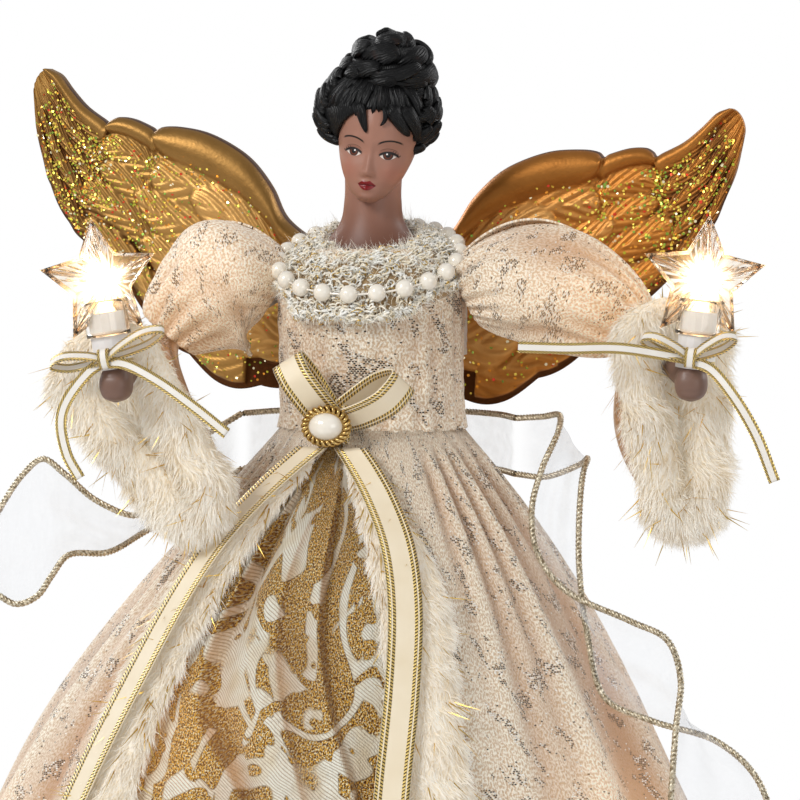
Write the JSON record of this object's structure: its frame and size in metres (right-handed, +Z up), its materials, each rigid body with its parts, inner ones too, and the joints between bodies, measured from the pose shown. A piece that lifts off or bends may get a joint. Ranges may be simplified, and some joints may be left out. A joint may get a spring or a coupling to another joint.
{
  "type": "lit angel tree topper",
  "caption": "Angel doll on an open plastic cone that slips over a tree's tip, in a fur-edged brocade gown, with moulded wings, posable wire arms and a star light in each hand.",
  "frame": {"origin": "centre of the bounding box at the height of the cone's base rim and the skirt's hem, on the floor", "axes": "+Z up along the cone, the angel faces -Y, +X towards its left hand"},
  "size_m": [0.2438, 0.2081, 0.3052],
  "materials": {
    "cone_plastic": "moulded white plastic",
    "skin": "painted cast resin",
    "hair": "black painted cast resin",
    "brocade": "ivory metallic brocade with small dark flecks",
    "jacquard": "gold jacquard with ivory scrolls",
    "fur": "cream fur edging with gold threads",
    "boucle": "cream boucle with gold lurex",
    "pearl": "pearl finish",
    "ribbon": "ivory satin ribbon with gold edges",
    "gold_metal": "gold plated",
    "wing_bronze": "antique gold paint with glitter",
    "steel": "plain steel",
    "candle": "white plastic",
    "clear": "clear moulded plastic",
    "lamp_glass": "clear miniature lamp, lit warm white",
    "organza": "sheer organza",
    "wired_cord": "silver and gold wired cord"
  },
  "bodies": {
    "figure": {"tree_cone": "cone_plastic", "skirt_lamp_1": "lamp_glass", "skirt_lamp_2": "lamp_glass", "skirt_lamp_3": "lamp_glass", "skirt_lamp_4": "lamp_glass", "skirt_lamp_5": "lamp_glass", "skirt_lamp_6": "lamp_glass", "skirt_lamp_7": "lamp_glass", "skirt_lamp_8": "lamp_glass", "torso_form": "cone_plastic", "head_and_shoulders": "skin", "hair": "hair", "bodice": "brocade", "overskirt": "brocade", "front_panel": "jacquard", "fur_trim_right": "fur", "fur_trim_left": "fur", "collar": "boucle", "pearl_string": "pearl", "waist_bow": "ribbon", "bow_tail_right": "ribbon", "bow_tail_left": "ribbon", "brooch_setting": "gold_metal", "brooch_pearl": "pearl", "puff_sleeve_right": "brocade", "puff_sleeve_left": "brocade", "wing_plate": "cone_plastic", "wing_right": "wing_bronze", "wing_left": "wing_bronze", "wing_screw_right": "steel", "wing_screw_left": "steel", "shawl_back": "organza", "shawl_cord_upper_back": "wired_cord", "shawl_cord_lower_back": "wired_cord"},
    "arm_right": {"bell_sleeve_right": "brocade", "fur_cuff_right": "fur", "arm_wire_right": "steel", "hand_right": "skin", "candle_right": "candle", "candle_lamp_right": "lamp_glass", "candle_bow_right": "ribbon", "shawl_right": "organza", "shawl_cord_upper_right": "wired_cord", "shawl_cord_lower_right": "wired_cord"},
    "arm_left": {"bell_sleeve_left": "brocade", "fur_cuff_left": "fur", "arm_wire_left": "steel", "hand_left": "skin", "candle_left": "candle", "candle_lamp_left": "lamp_glass", "candle_bow_left": "ribbon", "shawl_left": "organza", "shawl_cord_upper_left": "wired_cord", "shawl_cord_lower_left": "wired_cord"},
    "star_right": {"star_cover_right": "clear"},
    "star_left": {"star_cover_left": "clear"}
  },
  "joints": [
    {"name": "right_arm_lift", "type": "hinge", "parent": "figure", "child": "arm_right", "pos_m": [-0.0233, -0.001, 0.234], "axis": [-0.8821, 0.471, 0], "range_deg": [0, 25], "deforming": ["puff_sleeve_right", "shawl_right", "shawl_cord_upper_right", "shawl_cord_lower_right"]},
    {"name": "right_star_pull", "type": "slide", "parent": "arm_right", "child": "star_right", "axis": [-0.1564, 0, 0.9877], "range_m": [0, 0.03]},
    {"name": "left_arm_lift", "type": "hinge", "parent": "figure", "child": "arm_left", "pos_m": [0.0233, -0.001, 0.234], "axis": [-0.3967, -0.9179, 0], "range_deg": [-5, 25], "deforming": ["puff_sleeve_left", "shawl_left", "shawl_cord_upper_left", "shawl_cord_lower_left"]},
    {"name": "left_star_pull", "type": "slide", "parent": "arm_left", "child": "star_left", "axis": [0.1045, 0, 0.9945], "range_m": [0, 0.03]}
  ]
}
